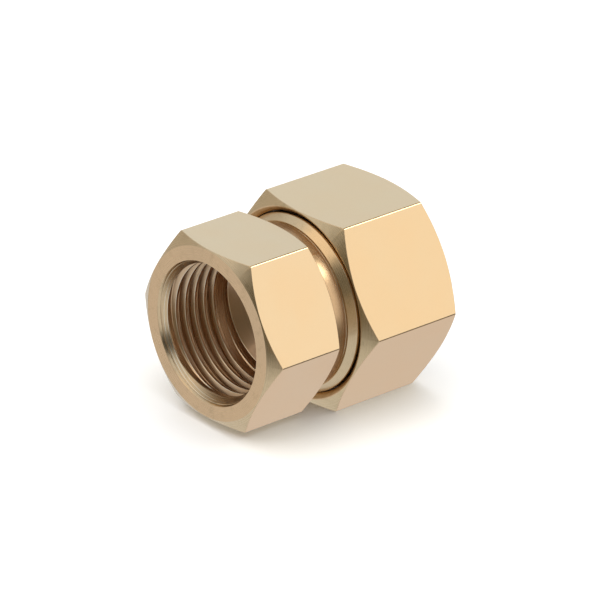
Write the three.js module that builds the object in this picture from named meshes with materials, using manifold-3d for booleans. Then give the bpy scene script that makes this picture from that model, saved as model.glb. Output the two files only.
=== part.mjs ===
// A brass pipe union with two female ends. A tail piece has a hexagon with a thread inside
// it, a neck and a collar. A larger union nut turns freely on that collar, held by a
// split wire ring that sits half in a groove of the collar and half in a groove of the nut.
// A flat washer lies in the nut against the end of the tail piece, where the other pipe seals.
// Units are millimetres. The pipe axis is X, the tail's mouth looks along -X, +Z is up, two
// flats of each hexagon are level, and the origin is halfway along the union on its axis.

import * as THREE from 'three';
import { mergeVertices } from 'three/addons/utils/BufferGeometryUtils.js';
import Module from 'manifold-3d';

// Driving dimensions.
const OVERALL_LENGTH = 35;
const SEGMENTS = 36;
const HEX_CHAMFER = THREE.MathUtils.degToRad(30);

const TAIL = {
  acrossFlats: 27,
  hexLength: 13.5,
  faceRadius: 13.35,
  neckRadius: 12.7,
  neckLength: 2.6,
  shoulderLength: 1.2,
  collarRadius: 13.8,
  length: 22.1,
  endChamfer: 0.4,
  rimRadius: 11.15,
  leadDepth: 1.9,
  threadStart: 1.6,
  threadEnd: 11,
  socketDepth: 12.8,
  waterwayRadius: 8,
  drillPoint: THREE.MathUtils.degToRad(59),
};

const NUT = {
  acrossFlats: 30,
  length: 18,
  faceRadius: 14.9,
  mouthRadius: 14.75,
  mouthBevel: 0.75,
  boreRadius: 14,
  boreLength: 7.7,
  rimRadius: 13.7,
};

// Threads of 14 turns an inch: seven eighths of an inch with 60 degree flanks in the tail, and
// the three quarter inch pipe thread with 55 degree flanks in the nut. Both start at the bottom.
const PITCH = 25.4 / 14;
const TAIL_THREAD = {
  major: 22.225 / 2,
  minor: 20.4 / 2,
  flank: THREE.MathUtils.degToRad(30),
};
const NUT_THREAD = {
  major: 26.441 / 2,
  minor: 24.117 / 2,
  flank: THREE.MathUtils.degToRad(27.5),
};
const ROOT_WIDTH = 0.32;
const CUTTER_RISE = 0.12;
const START_ANGLE = -Math.PI / 2;

const RING = {
  wireRadius: 0.4,
  radius: 13.9,
  offset: 2,
  gap: THREE.MathUtils.degToRad(26),
  collarGroove: 13.1,
  nutGroove: 14.35,
  grooveWidth: 1.1,
};

const WASHER = {
  innerRadius: 8.2,
  outerRadius: 11.8,
  thickness: 2,
  clearance: 0.1,
};

// Places along the axis.
const TAIL_FRONT = -OVERALL_LENGTH / 2;
const TAIL_REAR = TAIL_FRONT + TAIL.length;
const NUT_REAR = OVERALL_LENGTH / 2;
const NUT_FRONT = NUT_REAR - NUT.length;
const RING_X = TAIL_REAR - RING.offset;
const WASHER_FRONT = TAIL_REAR + WASHER.clearance;

const BRASS = { color: 0xd9bf92, roughness: 0.22, metalness: 1 };
const STEEL = { color: 0x9c9b98, roughness: 0.35, metalness: 1 };
const RUBBER = { color: 0x1d1d1e, roughness: 0.8, metalness: 0 };

const wasm = await Module();
wasm.setup();

// A three.js geometry as a manifold solid.
function solid(geometry) {
  const bare = geometry.index ? geometry.toNonIndexed() : geometry.clone();
  bare.deleteAttribute('normal');
  bare.deleteAttribute('uv');
  const merged = mergeVertices(bare, 1e-5);
  return new wasm.Manifold(new wasm.Mesh({
    numProp: 3,
    vertProperties: new Float32Array(merged.attributes.position.array),
    triVerts: new Uint32Array(merged.index.array),
  }));
}

// A manifold solid as a flat-shaded three.js geometry.
function geometryOf(manifold) {
  const mesh = manifold.getMesh();
  const geometry = new THREE.BufferGeometry();
  geometry.setAttribute('position', new THREE.BufferAttribute(mesh.vertProperties, 3));
  geometry.setIndex(new THREE.BufferAttribute(mesh.triVerts, 1));
  return geometry;
}

// A ring-shaped solid turned about X. The profile is a closed loop of [x, radius] points:
// the bore from front to rear, then the outside back from rear to front.
function turned(profile) {
  const loop = [...profile, profile[0]].reverse();
  const points = loop.map(([x, radius]) => new THREE.Vector2(radius, x));
  const lathe = new THREE.LatheGeometry(points, SEGMENTS);
  lathe.rotateZ(-Math.PI / 2);
  return lathe;
}

// A hexagonal bar along X from start to end, with two flats level.
function hexBar(acrossFlats, start, end) {
  const outline = new THREE.Shape();
  const cornerRadius = acrossFlats / Math.sqrt(3);
  for (let i = 0; i < 6; i += 1) {
    const angle = Math.PI / 2 + (i * Math.PI) / 3;
    const corner = [cornerRadius * Math.cos(angle), cornerRadius * Math.sin(angle)];
    if (i === 0) outline.moveTo(...corner);
    else outline.lineTo(...corner);
  }
  outline.closePath();
  const bar = new THREE.ExtrudeGeometry(outline, { depth: end - start, bevelEnabled: false });
  bar.rotateY(Math.PI / 2);
  bar.translate(start, 0, 0);
  return bar;
}

// The groove of an internal right-hand thread, as one helical wedge about X. It opens into the
// bore just inside the minor radius, and it fades out over its last half turn.
function threadCutter(thread, start, end) {
  const steps = Math.round(((end - start) / PITCH) * SEGMENTS);
  const fadeSteps = SEGMENTS / 2;
  const inner = thread.minor - CUTTER_RISE;
  const depth = thread.major - inner;
  const rootHalf = ROOT_WIDTH / 2;
  const mouthHalf = rootHalf + depth * Math.tan(thread.flank);
  const positions = [];
  const indices = [];
  for (let i = 0; i <= steps; i += 1) {
    const angle = START_ANGLE + (i * 2 * Math.PI) / SEGMENTS;
    const x = start + (i * PITCH) / SEGMENTS;
    const fade = Math.min(1, (steps - i) / fadeSteps);
    const root = inner + depth * Math.max(fade, 0.05);
    const half = mouthHalf - (root - inner) * Math.tan(thread.flank);
    const section = [
      [x - mouthHalf, inner],
      [x - half, root],
      [x + half, root],
      [x + mouthHalf, inner],
    ];
    for (const [along, radius] of section) {
      positions.push(along, radius * Math.cos(angle), radius * Math.sin(angle));
    }
  }
  const corners = 4;
  for (let i = 0; i < steps; i += 1) {
    for (let j = 0; j < corners; j += 1) {
      const a = i * corners + j;
      const b = i * corners + ((j + 1) % corners);
      indices.push(a, a + corners, b, b, a + corners, b + corners);
    }
  }
  const last = steps * corners;
  indices.push(0, 1, 2, 0, 2, 3);
  indices.push(last, last + 2, last + 1, last, last + 3, last + 2);
  const geometry = new THREE.BufferGeometry();
  geometry.setAttribute('position', new THREE.Float32BufferAttribute(positions, 3));
  geometry.setIndex(indices);
  return geometry;
}

// The four profile points of a square groove at x, seen from the side the profile runs along.
function groove(x, surface, bottom, direction) {
  const half = (direction * RING.grooveWidth) / 2;
  return [[x - half, surface], [x - half, bottom], [x + half, bottom], [x + half, surface]];
}

// The axial run of a hexagon's end chamfer, out to a radius clear of the corners.
function chamferRun(acrossFlats, faceRadius) {
  const clearRadius = acrossFlats / Math.sqrt(3) + 0.5;
  return { clearRadius, run: (clearRadius - faceRadius) * Math.tan(HEX_CHAMFER) };
}

function tailPiece() {
  const front = TAIL_FRONT;
  const hexEnd = front + TAIL.hexLength;
  const neckEnd = hexEnd + TAIL.neckLength;
  const socketEnd = front + TAIL.socketDepth;
  const { minor } = TAIL_THREAD;
  const drillRun = (minor - TAIL.waterwayRadius) / Math.tan(TAIL.drillPoint);
  const { clearRadius, run } = chamferRun(TAIL.acrossFlats, TAIL.faceRadius);
  const body = turned([
    [front, TAIL.rimRadius],
    [front + TAIL.leadDepth, minor],
    [socketEnd, minor],
    [socketEnd + drillRun, TAIL.waterwayRadius],
    [TAIL_REAR - TAIL.endChamfer, TAIL.waterwayRadius],
    [TAIL_REAR, TAIL.waterwayRadius + TAIL.endChamfer],
    [TAIL_REAR, TAIL.collarRadius - TAIL.endChamfer],
    [TAIL_REAR - TAIL.endChamfer, TAIL.collarRadius],
    ...groove(RING_X, TAIL.collarRadius, RING.collarGroove, -1),
    [neckEnd + TAIL.shoulderLength, TAIL.collarRadius],
    [neckEnd, TAIL.neckRadius],
    [hexEnd, TAIL.neckRadius],
    [hexEnd, TAIL.faceRadius],
    [hexEnd - run, clearRadius],
    [front + run, clearRadius],
    [front, TAIL.faceRadius],
  ]);
  const bar = hexBar(TAIL.acrossFlats, front - 1, TAIL_REAR + 1);
  const cutter = threadCutter(TAIL_THREAD, front + TAIL.threadStart, front + TAIL.threadEnd);
  return solid(body).intersect(solid(bar)).subtract(solid(cutter));
}

function unionNut() {
  const front = NUT_FRONT;
  const boreEnd = front + NUT.boreLength;
  const { minor } = NUT_THREAD;
  const { clearRadius, run } = chamferRun(NUT.acrossFlats, NUT.faceRadius);
  const body = turned([
    [front, NUT.mouthRadius],
    [front + NUT.mouthBevel, NUT.boreRadius],
    ...groove(RING_X, NUT.boreRadius, RING.nutGroove, 1),
    [boreEnd, NUT.boreRadius],
    [boreEnd + NUT.boreRadius - minor, minor],
    [NUT_REAR - (NUT.rimRadius - minor), minor],
    [NUT_REAR, NUT.rimRadius],
    [NUT_REAR, NUT.faceRadius],
    [NUT_REAR - run, clearRadius],
    [front + run, clearRadius],
    [front, NUT.faceRadius],
  ]);
  const bar = hexBar(NUT.acrossFlats, front - 1, NUT_REAR + 1);
  const cutter = threadCutter(NUT_THREAD, boreEnd - PITCH / 2, NUT_REAR + PITCH);
  return solid(body).intersect(solid(bar)).subtract(solid(cutter));
}

// The centre line of the split wire ring, with its gap at the bottom.
class RingArc extends THREE.Curve {
  getPoint(t) {
    const angle = -Math.PI / 2 + RING.gap / 2 + t * (2 * Math.PI - RING.gap);
    return new THREE.Vector3(0, RING.radius * Math.cos(angle), RING.radius * Math.sin(angle));
  }
}

function retainingRing() {
  const wire = new THREE.Shape();
  const sides = 10;
  for (let i = 0; i < sides; i += 1) {
    const angle = (i * 2 * Math.PI) / sides;
    const point = [RING.wireRadius * Math.cos(angle), RING.wireRadius * Math.sin(angle)];
    if (i === 0) wire.moveTo(...point);
    else wire.lineTo(...point);
  }
  wire.closePath();
  return new THREE.ExtrudeGeometry(wire, { steps: SEGMENTS, extrudePath: new RingArc() });
}

function sealingWasher() {
  return turned([
    [0, WASHER.innerRadius],
    [WASHER.thickness, WASHER.innerRadius],
    [WASHER.thickness, WASHER.outerRadius],
    [0, WASHER.outerRadius],
  ]);
}

// A named mesh with its own material.
function part(name, geometry, look) {
  const mesh = new THREE.Mesh(geometry, new THREE.MeshStandardMaterial(look));
  mesh.name = name;
  return mesh;
}

const tail = part('tail_piece', geometryOf(tailPiece()), BRASS);
const nut = part('union_nut', geometryOf(unionNut()), BRASS);
const ring = part('retaining_ring', retainingRing(), STEEL);
const washer = part('sealing_washer', sealingWasher(), RUBBER);
ring.position.x = RING_X;
washer.position.x = WASHER_FRONT;

const nutAndRing = new THREE.Group();
nutAndRing.add(nut, ring);
const pipeUnion = new THREE.Group();
pipeUnion.add(tail, washer, nutAndRing);

export default pipeUnion;
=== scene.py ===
import math

import bmesh
import bpy
import numpy as np
from mathutils import Matrix, Vector


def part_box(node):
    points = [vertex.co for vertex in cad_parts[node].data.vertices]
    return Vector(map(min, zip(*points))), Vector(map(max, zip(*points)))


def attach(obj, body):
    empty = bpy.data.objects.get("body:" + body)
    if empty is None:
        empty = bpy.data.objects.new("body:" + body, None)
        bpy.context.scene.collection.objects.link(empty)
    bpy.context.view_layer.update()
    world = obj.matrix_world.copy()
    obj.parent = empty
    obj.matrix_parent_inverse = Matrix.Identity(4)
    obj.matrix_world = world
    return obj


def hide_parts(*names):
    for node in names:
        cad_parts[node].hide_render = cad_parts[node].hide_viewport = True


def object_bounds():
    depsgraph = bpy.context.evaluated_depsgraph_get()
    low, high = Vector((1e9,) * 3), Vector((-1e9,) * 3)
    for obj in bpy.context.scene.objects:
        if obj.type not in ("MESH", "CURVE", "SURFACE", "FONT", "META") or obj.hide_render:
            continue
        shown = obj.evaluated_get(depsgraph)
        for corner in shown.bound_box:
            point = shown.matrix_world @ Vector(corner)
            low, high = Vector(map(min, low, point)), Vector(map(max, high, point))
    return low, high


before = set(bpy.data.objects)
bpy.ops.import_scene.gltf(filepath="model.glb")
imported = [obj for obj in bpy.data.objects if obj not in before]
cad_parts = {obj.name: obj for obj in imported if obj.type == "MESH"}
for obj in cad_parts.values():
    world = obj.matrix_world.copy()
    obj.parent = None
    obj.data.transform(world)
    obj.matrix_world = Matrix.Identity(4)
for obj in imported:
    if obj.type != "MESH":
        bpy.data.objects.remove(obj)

# A brass pipe union: tail piece, union nut, wire ring and washer, in millimetres until the mesh.
MM = 0.001
cad_box = [list(corner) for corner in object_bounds()]


def box_mm(node):
    """A node's lowest and highest corners at rest."""
    lo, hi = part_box(node)
    return np.array(lo) / MM, np.array(hi) / MM


TAIL_LO, TAIL_HI = box_mm("tail_piece")
NUT_LO, NUT_HI = box_mm("union_nut")
RING_LO, RING_HI = box_mm("retaining_ring")
WASHER_LO, WASHER_HI = box_mm("sealing_washer")

PITCH = 25.4 / 14
TAN_30 = math.tan(math.radians(30))
HEX_CORNER = 0.45
RING_X = (RING_LO[0] + RING_HI[0]) / 2
GROOVE_LOW, GROOVE_HIGH = RING_X - 0.55, RING_X + 0.55
COLLAR_GROOVE, NUT_GROOVE = 13.1, 14.35

# Threads as major radius, minor radius and flank angle.
TAIL_FORM = (22.225 / 2, 20.4 / 2, math.radians(30))
NUT_FORM = (26.441 / 2, 24.117 / 2, math.radians(27.5))
ROOT_HALF = 0.16
CREST_BAND = 0.07


# ---------------------------------------------------------------- mesh making

def hex_columns(apothem, corner_radius, flat_steps=30, corner_steps=6):
    """Angles round the axis for one column of vertices each, and the hexagon's radius there."""
    tangent = math.atan((apothem - corner_radius) * TAN_30 / apothem)
    reach = math.radians(30) - tangent
    centre = (apothem - corner_radius) / math.cos(math.radians(30))
    angles, radii = [], []
    for side in range(6):
        start = math.radians(60 * side)
        for i in range(corner_steps):
            off = -reach + 2 * reach * i / corner_steps
            angles.append(start + off)
            inside = corner_radius**2 - (centre * math.sin(off)) ** 2
            radii.append(centre * math.cos(off) + math.sqrt(max(inside, 0)))
        for i in range(flat_steps):
            off = -tangent + 2 * tangent * i / flat_steps
            angles.append(start + math.radians(30) + off)
            radii.append(apothem / math.cos(off))
    return np.array(angles), np.array(radii)


def rounded(corners, columns, steps=4):
    """Rows of points along an open chain of corners, each corner rounded by its own radius.

    A corner is (x, radius, rounding, kind of the stretch after it). Returns the rows as arrays of
    shape (rows, columns, 2) and a list with the kind of each strip between rows."""
    points = [np.stack([np.broadcast_to(c[0], columns), np.broadcast_to(c[1], columns)], -1)
              for c in corners]
    rows, kinds = [points[0]], []
    for k in range(1, len(corners) - 1):
        before, here, after = points[k - 1], points[k], points[k + 1]
        to_before, to_after = before - here, after - here
        length_before = np.linalg.norm(to_before, axis=-1, keepdims=True)
        length_after = np.linalg.norm(to_after, axis=-1, keepdims=True)
        to_before, to_after = to_before / length_before, to_after / length_after
        cosine = np.clip((to_before * to_after).sum(-1, keepdims=True), -1, 1)
        half = np.arccos(cosine) / 2
        reach = np.minimum(corners[k][2] / np.tan(half), 0.45 * np.minimum(length_before, length_after))
        first, last = here + to_before * reach, here + to_after * reach
        weight = np.sin(half)
        turn = (to_before[..., :1] * to_after[..., 1:] - to_before[..., 1:] * to_after[..., :1]).mean()
        edge = "edge" if turn > 0 else "hollow"
        kinds.append(corners[k - 1][3])
        for i in range(steps + 1):
            u = i / steps
            a, b, c = (1 - u) ** 2, 2 * u * (1 - u) * weight, u**2
            rows.append((a * first + b * here + c * last) / (a + b + c))
            if i:
                kinds.append(edge)
    rows.append(points[-1])
    kinds.append(corners[-2][3])
    return np.stack(rows), kinds


def groove_half(major, minor, flank):
    """Half the width of a thread's groove at the crest."""
    return ROOT_HALF + (major - minor) * math.tan(flank)


def thread_rows(form):
    """Places along one pitch, from a groove's centre, dense where the section bends."""
    mouth = groove_half(*form)
    marks = [0, 0.6 * ROOT_HALF, ROOT_HALF, ROOT_HALF + 0.05, ROOT_HALF + 0.12]
    marks += list(np.linspace(ROOT_HALF + 0.12, mouth - 0.08, 5)[1:])
    marks += [mouth - 0.03, mouth, mouth + 0.04, mouth + 0.09]
    half = [m for m in marks if m < PITCH / 2 - 0.01] + [PITCH / 2]
    return np.array(half + [PITCH - m for m in reversed(half[1:-1])])


def thread_radius(away, form, soft=0.028):
    """The radius of an internal thread at a distance from its groove's centre, corners eased."""
    major, minor, flank = form
    raw = major - (away - ROOT_HALF) / math.tan(flank)
    raw = major - soft * np.logaddexp(0, (major - raw) / soft)
    raw = raw + soft * math.log(2) * np.exp(-((away / ROOT_HALF) ** 2))
    return minor + soft * np.logaddexp(0, (raw - minor) / soft)


def threaded_bore(angles, base, front, rear, start, turns, form):
    """A helical patch of the bore between two rings, whose rows run along the thread.

    The groove's centre is at start where it begins, at the bottom. It fades in over about a third
    of a turn and out over half a turn, and base gives the bore's own radius at each place."""
    major, minor, _ = form
    pitches = int(math.ceil((rear - front) / PITCH)) + 2
    steps = np.concatenate([thread_rows(form) + PITCH * k for k in range(pitches)])
    offset = math.ceil((front - PITCH * 2 - start) / PITCH) * PITCH
    around = np.append(angles, angles[0] + 2 * math.pi)
    turned = (around + math.pi / 2) / (2 * math.pi)
    lead = PITCH * turned
    x = start + offset + steps[:, None] + lead[None, :]
    turn = (x - start - lead[None, :]) / PITCH
    groove = np.round(turn)
    away = np.abs(turn - groove) * PITCH
    along = groove + turned[None, :]
    radius = thread_radius(away, form)
    depth = np.clip((turns - along) / 0.5, 0, 1) * np.clip(along / 0.35, 0, 1)
    radius = np.minimum(radius, minor + (major - minor) * depth)
    radius = np.maximum(radius, minor)
    inside = (x > front) & (x < rear)
    x = np.clip(x, front, rear)
    radius = np.where(inside, np.maximum(radius, base(x)), base(x))
    from_groove = np.minimum(steps % PITCH, PITCH - steps % PITCH)
    crest = np.abs(from_groove - groove_half(*form)) < CREST_BAND
    kinds = ["crest" if crest[i] and crest[i + 1] else "thread" for i in range(len(steps) - 1)]
    return np.stack([x, radius], -1), kinds, around


# How much each kind of surface is turned, brightened by wear and a painted highlight, and darkened by
# painted shade where it lies in the bore, a crease or the neck.
KINDS = {
    "flat": (0, 0, 0),
    "cut": (1, 0, 0),
    "edge": (0.5, 1, 0),
    "hollow": (1, 0, 0.4),
    "neck": (1, 0, 0.6),
    "bore": (1, 0, 1),
    "deep": (1, 0, 1.6),
    "thread": (1, 0, 1),
    "crest": (1, 1, 1),
}


def strip_faces(rows, columns, closed):
    """Quads between neighbouring rows of a grid, and the row that each quad starts on."""
    across = columns if closed else columns - 1
    i, j = np.meshgrid(np.arange(rows - 1), np.arange(across), indexing="ij")
    k = (j + 1) % columns
    quads = np.stack([i * columns + j, i * columns + k, (i + 1) * columns + k, (i + 1) * columns + j], -1)
    return quads.reshape(-1, 4), i.reshape(-1)


def mesh_object(name, verts, faces, marks=None, weld=1e-6):
    """A smooth-shaded closed mesh in metres, welded, with its normals outwards."""
    mesh = bpy.data.meshes.new(name)
    mesh.from_pydata((verts * MM).tolist(), [], faces)
    if marks is not None:
        # Face marks: how turned, how much wear and painted highlight, how much painted shade.
        for at, label in enumerate(("cut", "wear_and_highlight", "inside")):
            layer = mesh.attributes.new(label, "FLOAT", "FACE")
            layer.data.foreach_set("value", np.ascontiguousarray(marks[:, at], dtype=np.float32))
    bm = bmesh.new()
    bm.from_mesh(mesh)
    bmesh.ops.remove_doubles(bm, verts=bm.verts, dist=weld)
    bmesh.ops.dissolve_degenerate(bm, edges=bm.edges, dist=1e-7)
    bmesh.ops.recalc_face_normals(bm, faces=bm.faces)
    bm.to_mesh(mesh)
    bm.free()
    for polygon in mesh.polygons:
        polygon.use_smooth = True
    obj = bpy.data.objects.new(name, mesh)
    bpy.context.scene.collection.objects.link(obj)
    return obj


def in_space(rows, angles):
    """Points [x, radius] of a grid placed round the X axis."""
    x, radius = rows[..., 0], rows[..., 1]
    return np.stack([x, radius * np.cos(angles), radius * np.sin(angles)], -1).reshape(-1, 3)


def turned_hexagon(name, angles, chain, bore):
    """A closed turned piece: a chain of rounded corners, and the threaded patch that closes it."""
    rows, kinds = rounded(chain, len(angles))
    verts = in_space(rows, angles)
    faces, starts = strip_faces(len(rows), len(angles), True)
    marks = np.array([KINDS[kinds[i]] for i in starts])
    patch, patch_kinds, around = bore
    patch_faces, patch_starts = strip_faces(len(patch), len(around), False)
    patch_marks = np.array([KINDS[patch_kinds[i]] for i in patch_starts])
    faces = np.concatenate([faces, patch_faces + len(verts)])
    verts = np.concatenate([verts, in_space(patch, around)])
    obj = mesh_object(name, verts, faces.tolist(), np.concatenate([marks, patch_marks]))
    obj.modifiers.new("even_shading", "WEIGHTED_NORMAL").weight = 50
    return obj


# ---------------------------------------------------------------- tail piece

def tail_piece():
    """Hexagon with a threaded socket, neck, tool line, conical shoulder and grooved collar."""
    front, rear = TAIL_LO[0], TAIL_HI[0]
    angles, hexagon = hex_columns(TAIL_HI[2], HEX_CORNER)
    hex_length, neck_length, shoulder_length, end_chamfer = 13.5, 2.6, 1.2, 0.4
    hex_end = front + hex_length
    neck_end = hex_end + neck_length
    face, neck, collar, line_depth = 13.35, 12.7, 13.8, 0.2
    minor = TAIL_FORM[1]
    rim, lead_depth = 11.15, 1.9
    thread_start, thread_end = 1.6, 11
    socket_depth, waterway, drill_point = 12.8, 8.0, math.radians(59)
    socket_end = front + socket_depth
    drill = (minor - waterway) / math.tan(drill_point)
    slope = (hexagon - face) * TAN_30

    def base(x):
        return np.maximum(rim - (x - front) * (rim - minor) / lead_depth, minor)

    bore_front, bore_rear = front + 0.5, socket_end - 0.5
    chain = [
        (bore_rear, minor, 0, "bore"),
        (socket_end, minor, 0.12, "deep"),
        (socket_end + drill, waterway, 0.2, "deep"),
        (rear - end_chamfer, waterway, 0.1, "cut"),
        (rear, waterway + end_chamfer, 0.1, "cut"),
        (rear, collar - end_chamfer, 0.1, "cut"),
        (rear - end_chamfer, collar, 0.1, "cut"),
        (GROOVE_HIGH, collar, 0.08, "cut"),
        (GROOVE_HIGH, COLLAR_GROOVE, 0.12, "cut"),
        (GROOVE_LOW, COLLAR_GROOVE, 0.12, "cut"),
        (GROOVE_LOW, collar, 0.06, "cut"),
        (neck_end + shoulder_length, collar, 0.3, "cut"),
        (neck_end + 0.14, neck + 0.14, 0.06, "cut"),
        (neck_end + 0.12, neck - line_depth, 0.03, "cut"),
        (neck_end - 0.08, neck - line_depth, 0.03, "cut"),
        (neck_end - 0.1, neck, 0.04, "neck"),
        (hex_end, neck, 0.3, "cut"),
        (hex_end, face, 0.08, "cut"),
        (hex_end - slope, hexagon, 0.12, "flat"),
        (front + slope, hexagon, 0.12, "cut"),
        (front, face, 0.08, "cut"),
        (front, rim, 0.06, "bore"),
        (bore_front - 0.08, base(bore_front - 0.08), 0.03, "bore"),
        (bore_front - 0.04, base(bore_front) + 0.05, 0.02, "bore"),
        (bore_front, base(bore_front), 0, "bore"),
    ]
    start = front + thread_start
    turns = (thread_end - thread_start) / PITCH
    bore = threaded_bore(angles, base, bore_front, bore_rear, start, turns, TAIL_FORM)
    return turned_hexagon("tail_piece_turned", angles, chain, bore)


def union_nut():
    """Hexagon nut, bevelled where it meets the collar, grooved for the ring, threaded behind."""
    front, rear = NUT_LO[0], NUT_HI[0]
    angles, hexagon = hex_columns(NUT_HI[2], HEX_CORNER)
    face, mouth, bevel, bore_radius, rim = 14.9, 14.75, 0.75, 14.0, 13.7
    minor = NUT_FORM[1]
    bore_length = 7.7
    bore_end = front + bore_length
    slope = (hexagon - face) * TAN_30

    def base(x):
        fore = bore_end + bore_radius - x
        back = x - rear + rim
        return np.clip(np.maximum(fore, back), minor, bore_radius)

    bore_front, bore_rear = bore_end - 0.2, rear - 0.1
    chain = [
        (bore_rear, rim - 0.1, 0, "cut"),
        (rear, rim, 0.04, "cut"),
        (rear, face, 0.1, "cut"),
        (rear - slope, hexagon, 0.14, "flat"),
        (front + slope, hexagon, 0.14, "cut"),
        (front, face, 0.08, "cut"),
        (front, mouth, 0.08, "cut"),
        (front + bevel, bore_radius, 0.1, "bore"),
        (GROOVE_LOW, bore_radius, 0.06, "bore"),
        (GROOVE_LOW, NUT_GROOVE, 0.12, "bore"),
        (GROOVE_HIGH, NUT_GROOVE, 0.12, "bore"),
        (GROOVE_HIGH, bore_radius, 0.06, "bore"),
        (bore_front, bore_radius, 0, "bore"),
    ]
    start, through = bore_end - PITCH / 2, 99
    bore = threaded_bore(angles, base, bore_front, bore_rear, start, through, NUT_FORM)
    return turned_hexagon("union_nut_turned", angles, chain, bore)


# ---------------------------------------------------------------- ring and washer

def retaining_ring():
    """The split wire, a round section along an arc with its gap at the bottom and domed ends."""
    wire, radius, gap = 0.4, 13.9, math.radians(26)
    sides, steps, dome = 24, 160, 5
    arc = 2 * math.pi - gap
    cap = wire / radius
    domes = np.linspace(0.12, math.pi / 2, dome)
    ends = [(cap * (1 - math.cos(t)), math.sin(t)) for t in domes]
    stations = list(ends)
    stations += [(s, 1.0) for s in np.linspace(cap, arc - cap, steps)[1:-1]]
    stations += [(arc - s, k) for s, k in reversed(ends)]
    verts = []
    for along, thick in stations:
        angle = -math.pi / 2 + gap / 2 + along
        for i in range(sides):
            turn = 2 * math.pi * i / sides
            x = RING_X + wire * thick * math.cos(turn)
            r = radius + wire * thick * math.sin(turn)
            verts.append((x, r * math.cos(angle), r * math.sin(angle)))
    faces = []
    for i in range(len(stations) - 1):
        for j in range(sides):
            k = (j + 1) % sides
            faces.append((i * sides + j, i * sides + k, (i + 1) * sides + k, (i + 1) * sides + j))
    last = (len(stations) - 1) * sides
    faces += [tuple(range(sides)), tuple(last + j for j in range(sides))]
    return mesh_object("retaining_ring_wire", np.array(verts), faces)


def sealing_washer():
    """A flat rubber ring with eased edges."""
    front, rear = WASHER_LO[0], WASHER_HI[0]
    inner, outer = 8.2, WASHER_HI[2]
    angles = np.linspace(0, 2 * math.pi, 160, endpoint=False)
    middle = (inner + outer) / 2
    chain = [
        (front, middle, 0, "cut"),
        (front, inner, 0.3, "cut"),
        (rear, inner, 0.3, "cut"),
        (rear, outer, 0.3, "cut"),
        (front, outer, 0.3, "cut"),
        (front, middle, 0, "cut"),
    ]
    rows, _ = rounded(chain, len(angles), steps=6)
    faces, _ = strip_faces(len(rows), len(angles), True)
    return mesh_object("sealing_washer_rubber", in_space(rows, angles), faces.tolist())


# ---------------------------------------------------------------- materials

class Nodes:
    """Short calls for building a node tree."""

    def __init__(self, name):
        self.material = bpy.data.materials.new(name)
        self.material.use_nodes = True
        self.tree = self.material.node_tree
        self.shader = self.tree.nodes["Principled BSDF"]

    def add(self, kind, **settings):
        node = self.tree.nodes.new(kind)
        for key, value in settings.items():
            setattr(node, key, value)
        return node

    def link(self, source, target):
        self.tree.links.new(source, target)

    def feed(self, socket, value):
        if isinstance(value, bpy.types.NodeSocket):
            self.link(value, socket)
        else:
            socket.default_value = value

    def math(self, operation, *values):
        node = self.add("ShaderNodeMath", operation=operation)
        for socket, value in zip(node.inputs, values):
            self.feed(socket, value)
        return node.outputs[0]

    def spread(self, value, low, high, to_low=0.0, to_high=1.0):
        """A value from low to high brought to the range from to_low to to_high."""
        node = self.add("ShaderNodeMapRange")
        for name, given in (("Value", value), ("From Min", low), ("From Max", high),
                            ("To Min", to_low), ("To Max", to_high)):
            self.feed(node.inputs[name], given)
        return node.outputs[0]

    def mix(self, factor, a, b):
        node = self.add("ShaderNodeMix", data_type="RGBA")
        self.feed(node.inputs["Factor"], factor)
        self.feed(node.inputs["A"], a)
        self.feed(node.inputs["B"], b)
        return node.outputs["Result"]

    def attribute(self, name):
        return self.add("ShaderNodeAttribute", attribute_name=name).outputs["Fac"]

    def place(self):
        """Object coordinates in millimetres: the vector, its x and its distance from the axis."""
        coordinates = self.add("ShaderNodeTexCoord").outputs["Object"]
        scale = self.add("ShaderNodeVectorMath", operation="SCALE")
        self.link(coordinates, scale.inputs[0])
        scale.inputs["Scale"].default_value = 1 / MM
        split = self.add("ShaderNodeSeparateXYZ")
        self.link(scale.outputs[0], split.inputs[0])
        x, y, z = split.outputs
        squares = self.math("ADD", self.math("MULTIPLY", y, y), self.math("MULTIPLY", z, z))
        return scale.outputs[0], x, self.math("SQRT", squares)

    def noise(self, vector=None, w=None, scale=1.0, detail=2.0, rough=0.5, distortion=0.0):
        """Noise in space along a vector, or in one dimension along w."""
        kind = "1D" if vector is None else "3D"
        node = self.add("ShaderNodeTexNoise", noise_dimensions=kind)
        if vector is not None:
            self.link(vector, node.inputs["Vector"])
        if w is not None:
            self.link(w, node.inputs["W"])
        node.inputs["Scale"].default_value = scale
        node.inputs["Detail"].default_value = detail
        node.inputs["Roughness"].default_value = rough
        node.inputs["Distortion"].default_value = distortion
        return node.outputs["Fac"]

    def stretched(self, vector, factors):
        node = self.add("ShaderNodeVectorMath", operation="MULTIPLY")
        self.link(vector, node.inputs[0])
        node.inputs[1].default_value = factors
        return node.outputs[0]

    def bump(self, height, distance):
        node = self.add("ShaderNodeBump")
        self.link(height, node.inputs["Height"])
        node.inputs["Strength"].default_value = 1.0
        node.inputs["Distance"].default_value = distance
        return node.outputs["Normal"]

    def paint(self, color, roughness, normal=None, metallic=0.0):
        self.feed(self.shader.inputs["Base Color"], color)
        self.feed(self.shader.inputs["Roughness"], roughness)
        if normal is not None:
            self.link(normal, self.shader.inputs["Normal"])
        self.shader.inputs["Metallic"].default_value = metallic
        return self.material


def rgb(*values):
    return (*values, 1.0)


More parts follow.
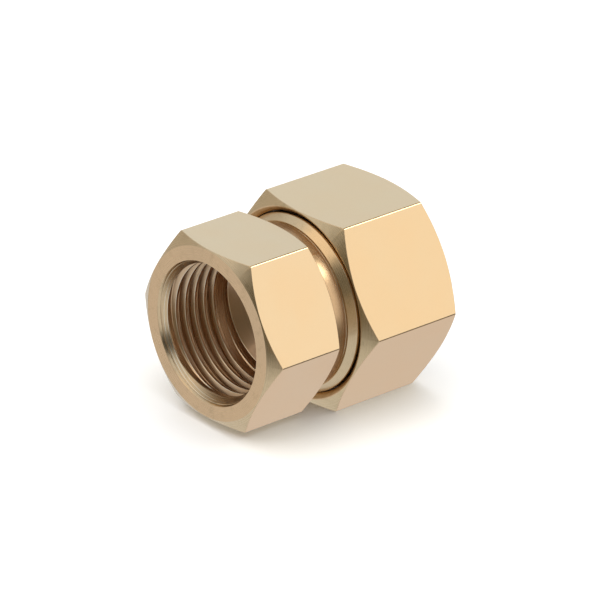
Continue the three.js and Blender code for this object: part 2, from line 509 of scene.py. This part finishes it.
def brass(name, polished, machined, shift):
    """Drawn and polished flats, turned faces with fine lathe rings, a bore darkened by painted shade, and
    edges and thread crests brightened by wear and a painted highlight.
    """
    n = Nodes(name)
    vector, x, radius = n.place()
    cut, wear_and_highlight, inside = n.attribute("cut"), n.attribute("wear_and_highlight"), n.attribute("inside")
    # The cone at the socket's mouth gets less painted shade than the thread behind it.
    mouth_low, mouth_high = TAIL_LO[0] + 1.4, TAIL_LO[0] + 2.4
    inside = n.math("MULTIPLY", inside, n.spread(x, mouth_low, mouth_high, 0.1, 1.0))

    along = n.math("ADD", x, n.math("MULTIPLY", radius, 1.31))
    along = n.math("ADD", along, shift)
    rings = n.noise(w=along, scale=5.5, detail=3.0, rough=0.62)
    coarse_rings = n.noise(w=along, scale=1.3, detail=1.0)
    lines = n.noise(vector=n.stretched(vector, (0.22, 7.0, 7.0)), scale=1.0, detail=3.0, rough=0.6)
    cloud = n.noise(vector=vector, scale=0.16, detail=2.0)
    grain = n.noise(vector=vector, scale=9.0, detail=2.0, rough=0.6)

    base = n.mix(cut, rgb(*polished), rgb(*machined))
    warm = n.mix(n.spread(cloud, 0.35, 0.7, 0.0, 0.22), base, rgb(0.86, 0.62, 0.36))
    ring_marks = n.math("MULTIPLY", cut, n.spread(rings, 0.35, 0.75, 0.0, 0.06))
    ringed = n.mix(ring_marks, warm, rgb(0.5, 0.36, 0.2))
    blotch = n.noise(vector=vector, scale=0.8, detail=5.0, rough=0.65, distortion=0.6)
    stain = n.math("MULTIPLY", cut, n.spread(blotch, 0.52, 0.72, 0.0, 0.34))
    stained = n.mix(stain, ringed, rgb(0.36, 0.28, 0.15))
    # Painted shade: the bore, its deep end, the hollow creases and the neck are darkened toward brown.
    recess_shaded = n.mix(n.math("MULTIPLY", inside, 0.5), stained, rgb(0.62, 0.40, 0.26))
    # Painted highlight together with wear: rounded edges and thread crests are lightened toward near
    # white.
    bright = n.mix(n.math("MULTIPLY", wear_and_highlight, 0.7), recess_shaded, rgb(0.98, 0.93, 0.78))
    tint = n.mix(n.spread(grain, 0.3, 0.75, 0.0, 0.10), bright, rgb(0.55, 0.43, 0.27))

    rough_flat = n.spread(lines, 0.3, 0.7, 0.17, 0.24)
    rough_cut = n.spread(rings, 0.3, 0.7, 0.2, 0.34)
    gap = n.math("SUBTRACT", rough_cut, rough_flat)
    roughness = n.math("ADD", rough_flat, n.math("MULTIPLY", gap, cut))
    roughness = n.math("ADD", roughness, n.math("MULTIPLY", inside, 0.05))

    half_cut = n.math("MULTIPLY", cut, 0.5)
    height = n.math("ADD", n.math("MULTIPLY", rings, half_cut),
                    n.math("MULTIPLY", coarse_rings, half_cut))
    drawn = n.math("MULTIPLY", lines, n.math("SUBTRACT", 0.5, half_cut))
    height = n.math("ADD", height, drawn)
    height = n.math("ADD", height, n.math("MULTIPLY", grain, 0.12))
    height = n.math("ADD", height, n.math("MULTIPLY", cloud, 2.0))
    normal = n.bump(height, 2.2e-6)
    return n.paint(tint, roughness, normal, metallic=1.0)


def steel_wire():
    """Drawn spring steel, a little browned."""
    n = Nodes("spring_steel_wire")
    vector, x, radius = n.place()
    drawn = n.noise(w=n.math("ADD", x, n.math("MULTIPLY", radius, 1.7)), scale=14.0, detail=3.0)
    cloud = n.noise(vector=vector, scale=0.5, detail=3.0)
    color = n.mix(n.spread(cloud, 0.35, 0.7), rgb(0.5, 0.49, 0.47), rgb(0.34, 0.31, 0.28))
    color = n.mix(n.spread(drawn, 0.4, 0.8, 0.0, 0.3), color, rgb(0.2, 0.19, 0.18))
    return n.paint(color, n.spread(drawn, 0.3, 0.7, 0.26, 0.42), n.bump(drawn, 3e-6), metallic=1.0)


def rubber():
    """Matt black rubber with a fine grain and a dusty bloom."""
    n = Nodes("washer_rubber_black")
    vector, _, _ = n.place()
    grain = n.noise(vector=vector, scale=7.0, detail=4.0, rough=0.6)
    cloud = n.noise(vector=vector, scale=0.35, detail=3.0)
    color = n.mix(n.spread(cloud, 0.35, 0.7), rgb(0.018, 0.018, 0.019), rgb(0.042, 0.041, 0.04))
    color = n.mix(n.spread(grain, 0.55, 0.8, 0.0, 0.5), color, rgb(0.08, 0.078, 0.074))
    return n.paint(color, n.spread(grain, 0.3, 0.7, 0.5, 0.72), n.bump(grain, 1.2e-5))


def floor_paint():
    """Matt off-white, hardly clouded."""
    n = Nodes("floor_paint")
    vector, _, _ = n.place()
    cloud = n.noise(vector=vector, scale=0.01, detail=3.0)
    color = n.mix(n.spread(cloud, 0.3, 0.7), rgb(0.93, 0.93, 0.925), rgb(0.95, 0.95, 0.945))
    return n.paint(color, 0.6)


# ---------------------------------------------------------------- pieces

PIECES = [
    (tail_piece, "tail", "tail_piece", "tail_brass",
     lambda: brass("tail_brass_metal", (0.83, 0.67, 0.45), (0.66, 0.50, 0.31), 0.0)),
    (union_nut, "nut", "union_nut", "nut_brass",
     lambda: brass("nut_brass_metal", (0.83, 0.66, 0.43), (0.66, 0.50, 0.30), 37.0)),
    (retaining_ring, "ring", "retaining_ring", "spring_steel", steel_wire),
    (sealing_washer, "washer", "sealing_washer", "washer_rubber", rubber),
]
for make, body, node, slot, material in PIECES:
    piece = make()
    piece.data.materials.append(material())
    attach(piece, body)
    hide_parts(node)


# ---------------------------------------------------------------- floor, light, camera

def stage_floor():
    """A plain pale floor, hidden from the brass, which mirrors the sky alone."""
    mesh = bpy.data.meshes.new("floor")
    side, level = 3.0, cad_box[0][2]
    corners = [(-side, -side, level), (side, -side, level), (side, side, level), (-side, side, level)]
    mesh.from_pydata(corners, [], [(0, 1, 2, 3)])
    mesh.materials.append(floor_paint())
    floor = bpy.data.objects.new("floor", mesh)
    bpy.context.scene.collection.objects.link(floor)
    floor.visible_glossy = False


def overhead():
    """A large soft lamp above the object, which the metal doesn't mirror."""
    side, distance, radiance = 1.6, 1.0, 1.5
    data = bpy.data.lights.new("overhead", "AREA")
    data.shape = "RECTANGLE"
    data.size, data.size_y = side, side
    data.energy = radiance * side * side * math.pi
    lamp = bpy.data.objects.new("overhead", data)
    place = Vector((-0.15, -0.1, 1.0)).normalized() * distance
    lamp.location = place
    lamp.rotation_euler = place.to_track_quat("Z", "Y").to_euler()
    lamp.visible_camera = False
    lamp.visible_glossy = False
    bpy.context.scene.collection.objects.link(lamp)


# The sky that the metal mirrors: soft boxes and dark cards on a pale base, later ones on top, each
# with its direction, the angles in degrees where it starts to fade and ends, and its colour.
SKY_BASE = (0.80, 0.84, 0.88)
SKY_LOBES = [
    ((-0.85, -0.35, 0.15), 31, 43, (0.15, 0.14, 0.105)),
    ((-0.26, -0.866, 0.446), 10, 22, (0.08, 0.08, 0.075)),
    ((-0.34, 0.94, 0.035), 14, 34, (0.58, 0.56, 0.52)),
    ((0.604, -0.666, -0.44), 14, 26, (0.10, 0.09, 0.07)),
    ((0.604, -0.712, 0.358), 22, 34, (1.14, 1.03, 0.90)),
    ((0.604, 0.046, -0.80), 26, 40, (0.76, 0.69, 0.68)),
    ((-0.604, 0.666, -0.438), 16, 30, (0.79, 0.74, 0.73)),
    ((-0.60, 0.10, 0.79), 14, 28, (1.35, 1.18, 0.98)),
    ((-0.76, -0.63, -0.12), 12, 24, (0.42, 0.34, 0.24)),
    ((0.604, 0.05, 0.795), 14, 22, (0.34, 0.27, 0.18)),
    ((0.604, -0.366, 0.708), 5, 11, (5.5, 5.3, 4.7)),
]


def studio():
    """An even pale sky with soft boxes and dark cards on it, which the metal mirrors."""
    world = bpy.data.worlds.new("studio")
    world.use_nodes = True
    tree = world.node_tree
    direction = tree.nodes.new("ShaderNodeTexCoord").outputs["Generated"]
    color = None
    for lobe, inner, outer, tone in SKY_LOBES:
        dot = tree.nodes.new("ShaderNodeVectorMath")
        dot.operation = "DOT_PRODUCT"
        tree.links.new(direction, dot.inputs[0])
        dot.inputs[1].default_value = Vector(lobe).normalized()
        edge = tree.nodes.new("ShaderNodeMapRange")
        edge.interpolation_type = "SMOOTHSTEP"
        tree.links.new(dot.outputs["Value"], edge.inputs["Value"])
        edge.inputs["From Min"].default_value = math.cos(math.radians(outer))
        edge.inputs["From Max"].default_value = math.cos(math.radians(inner))
        mix = tree.nodes.new("ShaderNodeMix")
        mix.data_type = "RGBA"
        tree.links.new(edge.outputs["Result"], mix.inputs["Factor"])
        if color is None:
            mix.inputs["A"].default_value = rgb(*SKY_BASE)
        else:
            tree.links.new(color, mix.inputs["A"])
        mix.inputs["B"].default_value = rgb(*tone)
        color = mix.outputs["Result"]
    tree.links.new(color, tree.nodes["Background"].inputs["Color"])
    bpy.context.scene.world = world


def camera():
    """A long lens from above the tail's mouth, aimed near the object's middle."""
    azimuth, elevation, roll = math.radians(227.82), math.radians(25.96), math.radians(2.20)
    distance, behind_mouth, aside, higher = 753.1, 1.4, 12.615, 4.566
    toward = Vector((math.cos(elevation) * math.cos(azimuth),
                     math.cos(elevation) * math.sin(azimuth), math.sin(elevation)))
    level = Vector((-math.sin(azimuth), math.cos(azimuth), 0))
    above = toward.cross(level)
    right = math.cos(roll) * level + math.sin(roll) * above
    up = math.cos(roll) * above - math.sin(roll) * level
    aim = Vector((TAIL_LO[0] + behind_mouth, 0, 0)) + aside * right + higher * up
    data = bpy.data.cameras.new("camera")
    data.sensor_width = 36
    data.lens = 309.4
    data.clip_start, data.clip_end = 0.05, 20
    eye = bpy.data.objects.new("camera", data)
    turn = Matrix((right, up, toward)).transposed().to_4x4()
    eye.matrix_world = Matrix.Translation((aim + distance * toward) * MM) @ turn
    bpy.context.scene.collection.objects.link(eye)
    bpy.context.scene.camera = eye


stage_floor()
studio()
overhead()
camera()
bpy.context.scene.view_settings.view_transform = "Standard"
